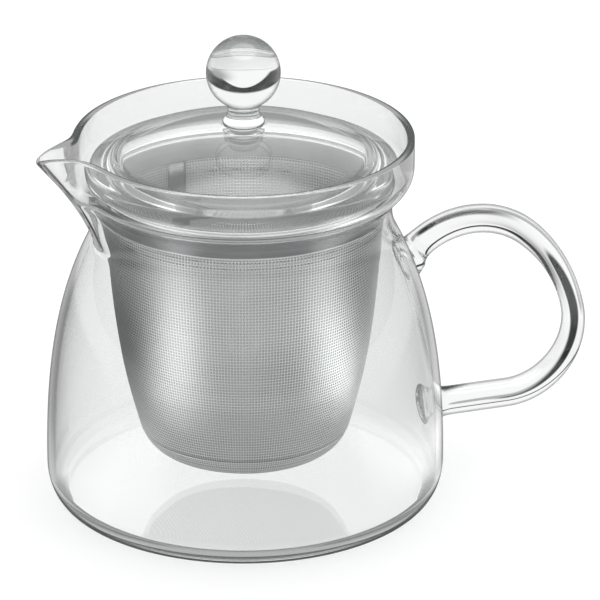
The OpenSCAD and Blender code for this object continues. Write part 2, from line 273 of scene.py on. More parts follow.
def turned(outline, columns, closed=False):
    """Points and faces of an outline turned about the axis."""
    points = []
    for j in range(columns):
        a = 2 * math.pi * j / columns
        points += [(r * math.cos(a), r * math.sin(a), z) for r, z in outline]
    return skinned(points, outline, columns, closed)


def beak_pull(a):
    """Share of the pull at an angle from the beak's middle: 1 there, 0 at its sides."""
    if abs(a) >= BEAK_HALF:
        return 0.0
    soft = math.sqrt(a * a + BEAK_ROUND * BEAK_ROUND) - BEAK_ROUND
    return math.exp(-((soft / BEAK_WIDTH) ** BEAK_FALL)) * (1 - (a / BEAK_HALF) ** 2) ** 2


def lip_shift(a):
    """The lip's rise beside the tip, and its dip at the tip, in millimetres."""
    if abs(a) >= BEAK_HALF:
        return 0.0
    k = abs(a) / BEAK_WIDTH
    return LIP_LIFT * k * math.exp(1 - k) * (1 - (a / BEAK_HALF) ** 2) ** 2 - TIP_DROP * beak_pull(a)


def pot_columns():
    """Angles from the beak's middle at which the pot's outline stands, close together there."""
    half = [BEAK_HALF * (i / 26) ** 1.5 for i in range(27)]
    rest = [BEAK_HALF + (360 - 2 * BEAK_HALF) * i / 190 for i in range(1, 190)]
    return [-a for a in half[:0:-1]] + half + rest


def pot_mesh():
    """The pot's outline stood round the axis, and pulled out where the beak is."""
    outline = pot_outline()
    outer = pot_side()[-1:] + collar(0)[1:]
    angles = pot_columns()
    reach = []
    for r, z in outline:
        rise = max((z - SHOULDER[1]) / (RIM_H - SHOULDER[1]), 0)
        keel = SHOULDER[0] + (BEAK_REACH - SHOULDER[0]) * rise**KEEL_EASE
        out = max(keel - between(outer, z), 0) if z > SHOULDER[1] else 0
        reach.append((out, rise**LIP_EASE))
    points = []
    for a in angles:
        c, s = math.cos(math.radians(a)), math.sin(math.radians(a))
        pull, shift = beak_pull(a), lip_shift(a)
        for (r, z), (out, share) in zip(outline, reach):
            radius = r + pull * out
            points.append((-radius * c, -radius * s, z + shift * share))
    return skinned(points, outline, len(angles), closed=False)


def handle_line():
    """The rod's centreline from the upper joint to the lower one, as (x, z) points."""
    top, end = math.radians(TOP_END), math.radians(BACK_END)
    back = (
        TOP_MID[0] - (BACK_BEND - TOP_BEND) * math.cos(top),
        TOP_MID[1] - (BACK_BEND - TOP_BEND) * math.sin(top),
    )
    low = (
        back[0] + (BACK_BEND - LOW_BEND) * math.cos(end),
        back[1] + (BACK_BEND - LOW_BEND) * math.sin(end),
    )
    side = pot_side()
    first = 150.0
    while first > 90:
        p = arc(TOP_MID, TOP_BEND, first, first, 1)[0]
        if p[0] > between(side, p[1]):
            break
        first -= 0.05
    line = arc(TOP_MID, TOP_BEND, first, TOP_END, 44)
    line += arc(back, BACK_BEND, TOP_END, BACK_END, 24)[1:]
    line += arc(low, LOW_BEND, BACK_END, -90, 34)[1:]
    arm_z = low[1] - LOW_BEND
    wall_x = between(side, arm_z)
    line += [(low[0] + (wall_x - low[0]) * i / 22, arm_z) for i in range(1, 23)]
    return line


def handle_mesh(thick, thin, foot):
    """A rod along the centreline, thinner at the back of the hand and flared where it is fused on."""
    line = handle_line()
    side = pot_side()
    count = len(line)
    run = [0.0]
    for p, q in zip(line, line[1:]):
        run.append(run[-1] + math.hypot(q[0] - p[0], q[1] - p[1]))
    total = run[-1]
    around = 40
    points, faces = [], []
    for i, (x, z) in enumerate(line):
        q, s = line[min(i + 1, count - 1)], line[max(i - 1, 0)]
        dx, dz = q[0] - s[0], q[1] - s[1]
        size = math.hypot(dx, dz)
        dx, dz = dx / size, dz / size
        share = run[i] / total
        waist = math.exp(-(((share - 0.5) / WAIST_SPREAD) ** 2))
        radius = thick / 2 - (thick - thin) / 2 * waist
        for away in (run[i], total - run[i]):
            radius += (foot / 2 - thick / 2) * math.exp(-((away / FLARE_REACH) ** FLARE_FALL))
        for k in range(around):
            a = 2 * math.pi * k / around
            off = radius * math.cos(a)
            px, py, pz = x - dz * off, radius * math.sin(a), z + dx * off
            if i in (0, count - 1):
                # The first and last rings lie on the pot's side.
                way = 1 if i == 0 else -1
                low_t, high_t = -4.0, 6.0
                for _ in range(40):
                    t = (low_t + high_t) / 2
                    gx, gz = px + way * dx * t, pz + way * dz * t
                    if math.hypot(gx, py) < between(side, gz) + HAIR:
                        low_t = t
                    else:
                        high_t = t
                px, pz = px + way * dx * high_t, pz + way * dz * high_t
            points.append((px, py, pz))
    for i in range(count - 1):
        for k in range(around):
            n = (k + 1) % around
            faces.append((i * around + k, i * around + n, (i + 1) * around + n, (i + 1) * around + k))
    for ring in (0, count - 1):
        rim = [Vector(points[ring * around + k]) for k in range(around)]
        middle = sum(rim, Vector()) / around
        size = math.hypot(middle.x, middle.y)
        grown = (between(side, middle.z) + HAIR) / size
        centre = len(points)
        points.append((middle.x * grown, middle.y * grown, middle.z))
        for k in range(around):
            faces.append((centre, ring * around + k, ring * around + (k + 1) % around))
    return points, faces


def dome(r, inset):
    """Height of the lid's dome, or of a face that far inside it, at a radius."""
    return DOME_MID + math.sqrt((DOME_R - inset) ** 2 - r * r)


def lid_outline():
    """The lid from the axis below, round its ring and edge, to the axis above."""
    ring = LID_R - LID_RING
    soft = LID_RING * 0.2
    under = [ring * i / 20 for i in range(1, 20)]
    outline = [(r, dome(r, LID_T)) for r in under if r < ring - 1.3]
    outline += arc((ring - 1.2, dome(ring, LID_T) - 1.35), 1.2, 90, 0, 6)
    outline += arc((ring + soft, REST_Z + soft + HAIR), soft, 180, 270, 8)
    outline += arc((LID_R - LID_LOW_ROUND, REST_Z + LID_LOW_ROUND + HAIR), LID_LOW_ROUND, -90, 0, 12)
    outline += arc((LID_R - LID_TOP_ROUND, LID_EDGE_Z - LID_TOP_ROUND), LID_TOP_ROUND, 0, 66, 10)
    over = [DOME_FOOT + (KNOB_LAND - DOME_FOOT) * i / 40 for i in range(2, 41)]
    outline += [(r, dome(r, 0)) for r in over]
    outline += [(KNOB_LAND * 0.5, KNOB_Z)]
    return outline


def knob_outline():
    """The knob from its flat foot, round the bead and stem, over the ball."""
    bead = BEAD_H / 2
    low = KNOB_Z + HAIR
    outline = [(BEAD_R * 0.4, low), (BEAD_R - bead, low)]
    outline += arc((BEAD_R - bead, low + bead), bead, -90, 50, 14)[1:]
    stem = math.degrees(math.asin(STEM_R / BALL_R))
    start = arc((0, BALL_Z), BALL_R, stem - 90, stem - 90, 1)[0]
    top = outline[-1]
    outline += bezier(top, (STEM_R - 0.3, top[1] + 0.9), (STEM_R - 0.5, start[1] - 0.6), start, 12)[1:]
    outline += arc((0, BALL_Z), BALL_R, stem - 90, 89, 60)[1:]
    return outline


def bow(inset, steps):
    """The mesh wall's curve, or a line that far inside it, from its straight part down to its foot."""
    return arc((MESH_R - BOW_R, STRAIGHT_H), BOW_R - inset, 0, -BOW_ANGLE, steps)


def wall_outline():
    """The mesh wall's section, closed, thinning to an edge at its foot."""
    mesh_top = REST_Z - FLANGE_T / 2 - 0.05
    outside, inside = bow(0.05, 60), bow(MESH_T - 0.05, 60)
    thinned = []
    for (r, z), (inner_r, _) in zip(outside, inside):
        share = min(max((z - BASKET_H) / CLOSING_H, 0.0), 1.0)
        thinned.append((inner_r + (r - inner_r) * (FOOT_SHARE + (1 - FOOT_SHARE) * share), z))
    return [(MESH_R - 0.05, mesh_top)] + thinned + inside[::-1] + [(HEM_R + 0.05, mesh_top)]


def bottom_outline():
    """The pressed bottom, from the axis below, up inside the wall, and back to the axis above."""
    dish = math.degrees(math.asin(DISH_LAP / BOW_R))
    lean = math.radians(BOW_ANGLE)
    corner = (BASKET_H - BASKET_FLOOR) / (1 - math.sin(lean))
    low = bow(MESH_T, 8)[-1]
    centre = (low[0] - corner * math.cos(lean), low[1] + corner * math.sin(lean))
    wall = (MESH_R - BOW_R, STRAIGHT_H)
    outline = [(0.5, BASKET_FLOOR)] + arc(centre, corner, -90, -BOW_ANGLE, 16)
    outline += arc(wall, BOW_R - MESH_T - HAIR, -BOW_ANGLE, dish - BOW_ANGLE, 6)
    outline += arc(wall, BOW_R - 2 * MESH_T, dish - BOW_ANGLE, -BOW_ANGLE, 6)
    outline += arc(centre, corner - MESH_T, -BOW_ANGLE, -90, 16) + [(0.5, BASKET_FLOOR + MESH_T)]
    return outline


def lap_mesh():
    """The strip where the mesh's two edges lap, on the inside of the wall."""
    hem_low = BAND_LOW + HEM_STEP
    rows = [p for p in bow(MESH_T + 0.01, 40) if p[1] < hem_low - 0.1]
    inner = [p for p in bow(MESH_T + 0.28, 40) if p[1] < hem_low - 0.1]
    # The top tucks in behind the inner band.
    rows.insert(0, (rows[0][0], hem_low + LAP_TUCK))
    inner.insert(0, (inner[0][0], hem_low + LAP_TUCK))
    columns = 6
    middle, half = math.radians(LAP_AT), LAP_WIDTH / 2
    points, faces = [], []
    for j in range(columns + 1):
        for r, z in rows + inner[::-1]:
            a = middle + half * (2 * j / columns - 1) / MESH_R
            points.append((r * math.cos(a), r * math.sin(a), z))
    count = len(rows) * 2
    for j in range(columns):
        for i in range(count):
            n = (i + 1) % count
            faces.append((j * count + i, (j + 1) * count + i, (j + 1) * count + n, j * count + n))
    faces.append(tuple(range(count)))
    faces.append(tuple(columns * count + i for i in range(count)))
    return points, faces


def weld_mesh():
    """Two rows of small round welds that hold the mesh under the band."""
    points, faces = [], []
    rings, around = ((0.45, 0.0), (0.3, 0.1)), 8
    for drop in WELD_DROPS:
        z = BAND_LOW - drop
        wall = between(bow(0, 60)[::-1], z)
        count = round(2 * math.pi * wall / WELD_STEP)
        for n in range(count):
            a = 2 * math.pi * n / count
            out, side = (math.cos(a), math.sin(a)), (-math.sin(a), math.cos(a))
            first = len(points)
            for size, proud in rings:
                for k in range(around):
                    t = 2 * math.pi * k / around
                    r = wall - 0.06 + proud
                    across = size * WELD_STEP / 2 * math.cos(t)
                    x, y = out[0] * r + side[0] * across, out[1] * r + side[1] * across
                    points.append((x, y, z + size * WELD_STEP / 2 * math.sin(t)))
            for k in range(around):
                m = (k + 1) % around
                faces.append((first + k, first + m, first + around + m, first + around + k))
            faces.append(tuple(first + k for k in range(around)))
            faces.append(tuple(first + around + k for k in range(around)))
    return points, faces


# --------------------------------------------------------------- materials


class Shade:
    """The node tree of a material or of the sky, filled one node at a time."""

    def __init__(self, owner, output="OutputMaterial"):
        owner.use_nodes = True
        self.owner = owner
        self.tree = owner.node_tree
        self.tree.nodes.clear()
        self.out = self.add(output)

    def add(self, kind, inputs=None, **settings):
        item = self.tree.nodes.new("ShaderNode" + kind)
        for key, value in settings.items():
            setattr(item, key, value)
        for key, value in (inputs or {}).items():
            if isinstance(value, bpy.types.NodeSocket):
                self.tree.links.new(value, item.inputs[key])
            else:
                item.inputs[key].default_value = value
        return item

    def math(self, operation, a, b=None, clamp=False):
        terms = {0: a} if b is None else {0: a, 1: b}
        return self.add("Math", terms, operation=operation, use_clamp=clamp).outputs[0]

    def ramp(self, value, stops, ease="EASE"):
        item = self.add("ValToRGB", {0: value})
        item.color_ramp.interpolation = ease
        while len(item.color_ramp.elements) < len(stops):
            item.color_ramp.elements.new(0.5)
        for element, (place, colour) in zip(item.color_ramp.elements, stops):
            element.position = place
            element.color = (*colour, 1)
        return item.outputs[0]

    def levels(self, value, stops, ease="EASE"):
        """A ramp of plain greys, as (place, level) stops."""
        return self.ramp(value, [(at, (v, v, v)) for at, v in stops], ease)

    def mix(self, share, first, second):
        return self.add("MixShader", {0: share, 1: first, 2: second}).outputs[0]

    def glow(self, level):
        return self.add("Emission", {"Color": WHITE, "Strength": level}).outputs[0]

    def surface(self, socket):
        self.tree.links.new(socket, self.out.inputs["Surface"])
        return self.owner


def new_shade(name):
    return Shade(bpy.data.materials.new(name))


# Extra painted edge shade by height, as (share of the rim's height, amount): the lip, then the foot's bend.
POT_PAINTED_BEND_SHADE = (((0.982, 0.0), (0.993, 0.35)), ((0.03, 0.3), (0.07, 0.0)))
# Turns inside a wall after which the glass shows a painted glow of even grey in place of the light, and that
# glow's level.
TURNS_CAUGHT, CAUGHT_PAINTED_GLOW = 2.5, 0.38


def glass(name, onset, full, most, ripple, painted_bend_shade=()):
    """Blown glass: clear face on, with a painted grey edge shade where it is seen along its surface, and
    slow ripples.

    The painted edge shade starts where the surface leans by onset, is nearly whole at full, and reaches
    most.
    """
    shade = new_shade(name)
    place = shade.add("TexCoord").outputs["Object"]
    slow = shade.add("TexNoise", {"Vector": place, "Scale": 35.0, "Detail": 1.0, "Roughness": 0.4})
    bump = shade.add("Bump", {"Strength": ripple, "Distance": 0.001, "Height": slow.outputs["Fac"]})
    facing = shade.add("LayerWeight", {"Blend": 0.5}).outputs["Facing"]
    if painted_bend_shade:
        # The tight bends at the lip and round the foot get their painted edge shade over more of their
        # width, placed by height.
        parts = shade.add("SeparateXYZ", {0: place})
        height = shade.math("DIVIDE", parts.outputs["Z"], RIM_H * MM)
        flat = shade.add("VectorMath", {0: place, 1: (1, 1, 0)}, operation="MULTIPLY").outputs[0]
        radius = shade.add("VectorMath", {0: flat}, operation="LENGTH").outputs["Value"]
        outside = shade.math("GREATER_THAN", radius, FOOT_R * MM)
        lip, foot = (shade.levels(height, run, "LINEAR") for run in painted_bend_shade)
        facing = shade.math("ADD", facing, shade.math("ADD", lip, shade.math("MULTIPLY", foot, outside)))
    painted_edge_share = shade.levels(facing, ((onset, 0.0), (full, most * 0.8), (1.0, most)))
    clear = shade.add(
        "BsdfPrincipled",
        {
            "Base Color": (*colours().glass, 1),
            "Roughness": 0.0,
            "IOR": 1.47,
            "Transmission Weight": 1.0,
            "Normal": bump.outputs["Normal"],
        },
    )
    path = shade.add("LightPath")
    # A dark diffuse, mixed in where the surface is seen aslant: painted shade on the glass's edges.
    rim = shade.add("BsdfDiffuse", {"Color": (*colours().glass_painted_edge_shade, 1)})
    face = shade.mix(painted_edge_share, clear.outputs[0], rim.outputs[0])
    # Light caught inside a wall turns back many times; after so many turns the wall shows a painted even
    # grey glow in its place.
    caught = shade.math("GREATER_THAN", path.outputs["Glossy Depth"], TURNS_CAUGHT)
    body = shade.mix(caught, face, shade.glow(CAUGHT_PAINTED_GLOW))
    through = shade.math("MAXIMUM", path.outputs["Is Shadow Ray"], path.outputs["Is Diffuse Ray"])
    veil = shade.add("BsdfTransparent", {"Color": (0.95, 0.96, 0.955, 1)})
    return shade.surface(shade.mix(through, body, veil.outputs[0]))


# How far a wire waves over and under, as a share of its height, and what lifts the lowest point above 0.
WAVE, WAVE_LIFT = 0.35, 0.4


def woven_steel(name, colour, dark, openness, metallic, rough):
    """Fine plain-weave wire: round wires over and under, with square holes between them."""
    shade = new_shade(name)
    cloth = shade.add("UVMap", uv_map="weave").outputs["UV"]
    parts = shade.add("SeparateXYZ", {0: cloth})
    u, v = parts.outputs["X"], parts.outputs["Y"]
    half = (1 - math.sqrt(openness)) / 2
    # Seen aslant, round wires close the holes between them.
    facing = shade.add("LayerWeight", {"Blend": 0.5}).outputs["Facing"]
    slant = shade.math("DIVIDE", facing, shade.math("SUBTRACT", 1.02, facing))
    grown = shade.math("MULTIPLY", slant, half)

    def wire(across, along):
        # Height of the wires that cross one way: round across, waving over and under along.
        off = shade.math("ABSOLUTE", shade.math("SUBTRACT", shade.math("FRACT", across), 0.5))
        edge = shade.math("SUBTRACT", off, 0.5 - half)
        inside = shade.math("MULTIPLY", shade.math("MAXIMUM", edge, 0.0), 1 / half, clamp=True)
        round_top = shade.math("SQRT", inside)
        count = shade.math("FLOOR", shade.math("ADD", across, 0.5))
        phase = shade.math("MULTIPLY", shade.math("ADD", along, count), math.pi)
        wave = shade.math("MULTIPLY", shade.math("COSINE", phase), WAVE)
        present = shade.math("GREATER_THAN", shade.math("ADD", edge, grown), 0.0)
        top = shade.math("ADD", shade.math("ADD", round_top, wave), WAVE_LIFT)
        return shade.math("MULTIPLY", present, top), present

    warp, has_warp = wire(u, v)
    weft, has_weft = wire(v, shade.math("ADD", u, 1.0))
    height = shade.math("MAXIMUM", warp, weft)
    solid = shade.math("MAXIMUM", has_warp, has_weft)
    place = shade.add("TexCoord").outputs["Object"]
    cloud = shade.add("TexNoise", {"Vector": place, "Scale": 60.0, "Detail": 3.0}).outputs["Fac"]
    # Painted shade: the weave is darker where its wires dip and between them and lighter on their crowns,
    # read from their height; the cloud adds random tone.
    tone = shade.ramp(
        shade.math("ADD", shade.math("MULTIPLY", height, 0.6), shade.math("MULTIPLY", cloud, 0.25)),
        [(0.3, dark), (0.8, colour)],
    )
    bump = shade.add("Bump", {"Strength": 0.35, "Distance": 0.00008, "Height": height})
    steel = shade.add(
        "BsdfPrincipled",
        {
            "Base Color": tone,
            "Metallic": metallic,
            "Roughness": rough,
            "Normal": bump.outputs["Normal"],
        },
    )
    hole = shade.add("BsdfTransparent", {"Color": WHITE})
    return shade.surface(shade.mix(solid, hole.outputs[0], steel.outputs[0]))


def drawn_steel(name, colour, rough):
    """Pressed and spun strip: fine rings round the axis and a faint cloudiness."""
    shade = new_shade(name)
    place = shade.add("TexCoord").outputs["Object"]
    stretched = shade.add("Mapping", {"Vector": place, "Scale": (40, 40, 4000)})
    fine = shade.add("TexNoise", {"Vector": stretched.outputs[0], "Scale": 1.0, "Detail": 4.0})
    rings = fine.outputs["Fac"]
    cloud = shade.add("TexNoise", {"Vector": place, "Scale": 90.0, "Detail": 2.0}).outputs["Fac"]
    pale = tuple(min(c * 1.15, 1) for c in colour)
    deep = tuple(c * 0.85 for c in colour)
    worn = shade.math("ADD", shade.math("MULTIPLY", rings, 0.6), shade.math("MULTIPLY", cloud, 0.4))
    tone = shade.ramp(worn, [(0.3, deep), (0.7, pale)])
    bump = shade.add("Bump", {"Strength": 0.15, "Distance": 0.0001, "Height": rings})
    steel = shade.add(
        "BsdfPrincipled",
        {"Base Color": tone, "Metallic": 0.6, "Roughness": rough, "Normal": bump.outputs["Normal"]},
    )
    return shade.surface(steel.outputs[0])


def lay_painted_light(shade, place, level, painted_ovals):
    """A level of painted light over the table, with soft-edged ovals of painted light or painted shade laid
    on it, each in turn over the last.

    Each oval is (right, away, half width, half depth, degrees turned, softness of its edge, level).
    """
    for right, away, wide, deep, turned_by, soft, own in painted_ovals:
        middle = RIGHT * right + AWAY * away
        oval = shade.add(
            "Mapping",
            {
                "Vector": place,
                "Location": middle,
                "Rotation": (0, 0, -TURN - math.radians(turned_by)),
                "Scale": (wide, deep, 1),
            },
            vector_type="TEXTURE",
        )
        far = shade.add("VectorMath", {0: oval.outputs[0]}, operation="LENGTH").outputs["Value"]
        cover = shade.add(
            "MapRange",
            {"Value": far, "From Min": 1 + soft, "From Max": 1 - soft, "To Min": 0.0, "To Max": 1.0},
            interpolation_type="SMOOTHSTEP",
        ).outputs["Result"]
        gap = shade.math("SUBTRACT", own, level)
        level = shade.math("ADD", shade.math("MULTIPLY", cover, gap), level)
    return level


def light_kinds(shade):
    """Masks for what looks this way.

    They are the lens, solid glass, glass walls, metal behind glass, and a bare reflection.
    """
    path = shade.add("LightPath")
    through = path.outputs["Is Transmission Ray"]
    bare = shade.math("SUBTRACT", path.outputs["Is Glossy Ray"], through, clamp=True)
    walls = shade.math("GREATER_THAN", path.outputs["Transmission Depth"], 2.5)
    turned_back = shade.math("GREATER_THAN", path.outputs["Glossy Depth"], 0.5)
    metal = shade.math("MULTIPLY", turned_back, through)
    return path.outputs["Is Camera Ray"], through, walls, metal, bare


def pale_floor(name, colour, seen_white, looks):
    """A plain pale table, white to the lens, that glows at its own levels where glass, metal and reflections
    see it: painted pools of light and painted shade.
    """
    shade = new_shade(name)
    place = shade.add("TexCoord").outputs["Object"]
    cloud = shade.add("TexNoise", {"Vector": place, "Scale": 3.0, "Detail": 2.0}).outputs["Fac"]
    pale = tuple(c * 0.985 for c in colour)
    tone = shade.ramp(cloud, [(0.3, pale), (0.7, colour)])
    matt = shade.add("BsdfDiffuse", {"Color": tone}).outputs[0]
    lens, *others = light_kinds(shade)
    lift = shade.glow(shade.math("MULTIPLY", lens, seen_white))
    surface = shade.add("AddShader", {0: matt, 1: lift}).outputs[0]
    for kind, (share, base, painted_ovals) in zip(others, looks):
        glow = shade.glow(lay_painted_light(shade, place, base, painted_ovals))
        if share < 1:
            glow = shade.mix(share, matt, glow)
        surface = shade.mix(kind, surface, glow)
    return shade.surface(surface)


# -------------------------------------------------------------- properties


class TeapotSizes(bpy.types.PropertyGroup):
    """Sizes that shape the handle and the mesh"""

    rod_thick: FloatProperty(
        name="Rod thickness", description="Handle's thickness at its arms",
        default=7.1 * MM, unit="LENGTH",
    )
    rod_thin: FloatProperty(
        name="Rod waist", description="Handle's thickness at the back of the hand",
        default=5.6 * MM, unit="LENGTH",
    )
    rod_foot: FloatProperty(
        name="Fused foot", description="Handle's width where it is fused to the pot",
        default=10.2 * MM, unit="LENGTH",
    )
    pitch: FloatProperty(
        name="Wire pitch", description="Distance from one wire of the mesh to the next",
        default=0.75 * MM, unit="LENGTH",
    )
    openness: FloatProperty(
        name="Open share", description="Share of the mesh that is holes",
        default=0.25, min=0, max=0.6, subtype="FACTOR",
    )
    columns: IntProperty(
        name="Columns", description="Columns in each turned piece",
        default=192, min=48, max=360,
    )


class TeapotColours(bpy.types.PropertyGroup):
    """Colours of each material, and the level of the lamps"""

    glass: FloatVectorProperty(
        name="Glass", description="Glass seen face on",
        default=(0.975, 0.985, 0.98), min=0, max=1, subtype="COLOR",
    )
    # Painted edge shade: a dark colour mixed into the glass where it is seen along its surface.
    glass_painted_edge_shade: FloatVectorProperty(
        name="Glass edge", description="Glass seen along its surface",
        default=(0.07, 0.078, 0.078), min=0, max=1, subtype="COLOR",
    )
    mesh: FloatVectorProperty(
        name="Mesh", description="Crowns of the strainer's wires",
        default=(0.79, 0.80, 0.80), min=0, max=1, subtype="COLOR",
    )
    # Painted shade: the colour for the weave's hollows and the sides of its wires.
    mesh_painted_shade: FloatVectorProperty(
        name="Mesh, low", description="Sides of the strainer's wires",
        default=(0.045, 0.047, 0.049), min=0, max=1, subtype="COLOR",
    )
    steel: FloatVectorProperty(
        name="Steel", description="Strainer's rim and band",
        default=(0.77, 0.785, 0.785), min=0, max=1, subtype="COLOR",
    )
    # Painted shade: the band's steel, darkened for the shade of the pot's neck.
    band: FloatVectorProperty(
        name="Band", description="Strainer's band in the shade of the neck",
        default=(0.2, 0.207, 0.21), min=0, max=1, subtype="COLOR",
    )
    weld: FloatVectorProperty(
        name="Welds", description="Rows of welds under the band",
        default=(0.22, 0.217, 0.21), min=0, max=1, subtype="COLOR",
    )
    floor: FloatVectorProperty(
        name="Floor", description="Floor and backdrop",
        default=(0.8, 0.8, 0.8), min=0, max=1, subtype="COLOR",
    )
    lamp: FloatProperty(
        name="Lamps", description="Strength of the studio lamps",
        default=1.0, min=0, max=5,
    )


def sizes():
    return bpy.context.scene.teapot_sizes


def colours():
    return bpy.context.scene.teapot_colours


# --------------------------------------------------------------- operators


class TEAPOT_OT_pot(bpy.types.Operator):
    """Blow the pot: foot, side, collar and pulled beak in one wall"""

    bl_idname = "teapot.pot"
    bl_label = "Pot"

    def execute(self, context):
        points, faces = pot_mesh()
        piece = mesh_piece("pot_glass", points, faces, "pot", ["pot_body"])
        look = glass("pot glass", onset=0.84, full=0.95, most=0.85, ripple=0.1, painted_bend_shade=POT_PAINTED_BEND_SHADE)
        piece.data.materials.append(look)
        return {"FINISHED"}


class TEAPOT_OT_handle(bpy.types.Operator):
    """Bend the handle's rod and fuse its two ends to the side"""

    bl_idname = "teapot.handle"
    bl_label = "Handle"

    def execute(self, context):
        s = sizes()
        points, faces = handle_mesh(s.rod_thick / MM, s.rod_thin / MM, s.rod_foot / MM)
        piece = mesh_piece("handle_rod", points, faces, "pot", ["handle"])
        piece.data.materials.append(glass("handle glass", onset=0.42, full=0.64, most=0.6, ripple=0.05))
        return {"FINISHED"}


class TEAPOT_OT_lid(bpy.types.Operator):
    """Press the domed lid and shape its ball knob"""

    bl_idname = "teapot.lid"
    bl_label = "Lid and knob"

    def execute(self, context):
        columns = sizes().columns
        points, faces = turned(lid_outline(), columns)
        piece = mesh_piece("lid_dome", points, faces, "lid", ["lid_disc"])
        piece.data.materials.append(glass("lid glass", onset=0.72, full=0.86, most=0.6, ripple=0.05))
        points, faces = turned(knob_outline(), 128)
        piece = mesh_piece("knob_ball", points, faces, "lid", ["lid_knob"])
        piece.data.materials.append(glass("knob glass", onset=0.5, full=0.82, most=0.75, ripple=0.03))
        return {"FINISHED"}


class TEAPOT_OT_strainer_ring(bpy.types.Operator):
    """Press the strainer's flange, its outer band and the inner band that grips the mesh"""

    bl_idname = "teapot.strainer_ring"
    bl_label = "Strainer ring"

    def execute(self, context):
        columns = sizes().columns
        steel = drawn_steel("drawn steel", tuple(colours().steel), rough=0.22)
        soft, bend = 0.25, 0.5
        outline = [(MESH_R + 0.02, BAND_LOW), (BAND_R - soft, BAND_LOW)]
        outline += arc((BAND_R - soft, BAND_LOW + soft), soft, -90, 0, 5)[1:]
        outline += [(BAND_R, FLANGE_Z - bend)]
        outline += arc((BAND_R + bend, FLANGE_Z - bend), bend, 180, 90, 5)[1:]
        rim = FLANGE_T / 2
        outline += arc((FLANGE_R - rim, FLANGE_Z + rim), rim, -90, 90, 10)
        outline += [(MESH_R + 0.02, REST_Z)]
        points, faces = turned(outline, columns, closed=True)
        piece = mesh_piece("strainer_flange", points, faces, "strainer", ["strainer_rim"])
        piece.data.materials.append(steel)
        # A darker copy of the steel for the outer band: painted shade of the pot's neck.
        piece.data.materials.append(drawn_steel("band steel in painted shade", tuple(colours().band), rough=0.3))
        for face in piece.data.polygons:
            middle = face.center / MM
            outer = math.hypot(middle.x, middle.y) > BAND_R - 0.1
            if outer and BAND_LOW + 0.4 < middle.z < FLANGE_Z - 0.2:
                face.material_index = 1
        hem_low = BAND_LOW + HEM_STEP
        hem_lip = REST_Z - FLANGE_T / 2 - 0.02
        inner = HEM_R - HEM_T
        outline = [(HEM_R - 0.02, hem_low), (HEM_R - 0.02, hem_lip)]
        outline += [(MESH_R, hem_lip), (MESH_R, REST_Z)]
        outline += arc((inner + 0.3, REST_Z - 0.3), 0.3, 90, 180, 5)
        outline += arc((inner + 0.2, hem_low + 0.2), 0.2, 180, 270, 4)
        points, faces = turned(outline, columns, closed=True)
        piece = mesh_piece("strainer_inner_band", points, faces, "strainer", ["strainer_hem"])
        piece.data.materials.append(steel)
        return {"FINISHED"}


def weave_uv(piece, pitch, flat_from=None):
    """Lay the weave on, round the wall, or straight across where the mesh lies flat."""
    mesh = piece.data
    layer = mesh.uv_layers.new(name="weave")
    turns = round(2 * math.pi * MESH_R * MM / pitch)
    for face in mesh.polygons:
        corners = [mesh.vertices[mesh.loops[loop].vertex_index].co for loop in face.loop_indices]
        angles = [math.atan2(p.y, p.x) for p in corners]
        wrap = max(angles) - min(angles) > math.pi
        flat = flat_from is not None and abs(face.normal.z) > flat_from
        for loop, p, a in zip(face.loop_indices, corners, angles):
            if wrap and a < 0:
                a += 2 * math.pi
            # The slope of a leaning wall stretches its height to its true length.
            lean = max(math.hypot(face.normal.x, face.normal.y), 0.3)
            if flat:
                layer.data[loop].uv = (p.x / pitch, p.y / pitch)
            else:
                layer.data[loop].uv = (a / (2 * math.pi) * turns, p.z / pitch / lean)


class TEAPOT_OT_strainer_mesh(bpy.types.Operator):
    """Roll the mesh wall with its lap, and press the mesh bottom"""

    bl_idname = "teapot.strainer_mesh"
    bl_label = "Strainer mesh"

    def execute(self, context):
        s, c = sizes(), colours()
        # dark is painted shade for the weave's hollows and the sides of its wires.
        bright, dark = tuple(c.mesh), tuple(c.mesh_painted_shade)
        weave = woven_steel("woven steel", bright, dark, s.openness, metallic=0.93, rough=0.3)
        inner = woven_steel("woven steel, inside", bright, dark, s.openness, metallic=0.5, rough=0.4)
        points, faces = turned(wall_outline(), s.columns, closed=True)
        piece = mesh_piece("mesh_wall", points, faces, "strainer", ["strainer_wall"])
        piece.data.materials.append(weave)
        piece.data.materials.append(inner)
        for face in piece.data.polygons:
            if face.normal.x * face.center.x + face.normal.y * face.center.y < 0:
                face.material_index = 1
        weave_uv(piece, s.pitch)
        points, faces = lap_mesh()
        piece = mesh_piece("mesh_lap", points, faces, "strainer")
        # Two layers lie over each other at the lap, so it is nearly closed; its colour is painted darker, as
        # painted shade between the layers.
        lap_painted_shade = [tuple(v * 0.55 for v in tone) for tone in (bright, dark)]
        lapped = woven_steel("woven steel, double", *lap_painted_shade, s.openness / 8, metallic=0.8, rough=0.36)
        piece.data.materials.append(lapped)
        weave_uv(piece, s.pitch)
        points, faces = weld_mesh()
        piece = mesh_piece("mesh_welds", points, faces, "strainer")
        piece.data.materials.append(drawn_steel("weld steel", tuple(c.weld), rough=0.4))
        points, faces = turned(bottom_outline(), s.columns)
        piece = mesh_piece("mesh_bottom", points, faces, "strainer", ["strainer_bottom"])
        piece.data.materials.append(weave)
        weave_uv(piece, s.pitch, flat_from=0.75)
        return {"FINISHED"}


# The floor: half its side in millimetres, its drop below the foot in metres, and the share of white that
# the lens sees over its lit colour. The rest of its brightness is lit, so it keeps the pot's shadow.
FLOOR_HALF, FLOOR_DROP, SEEN_WHITE = 4000, 0.0002, 0.25

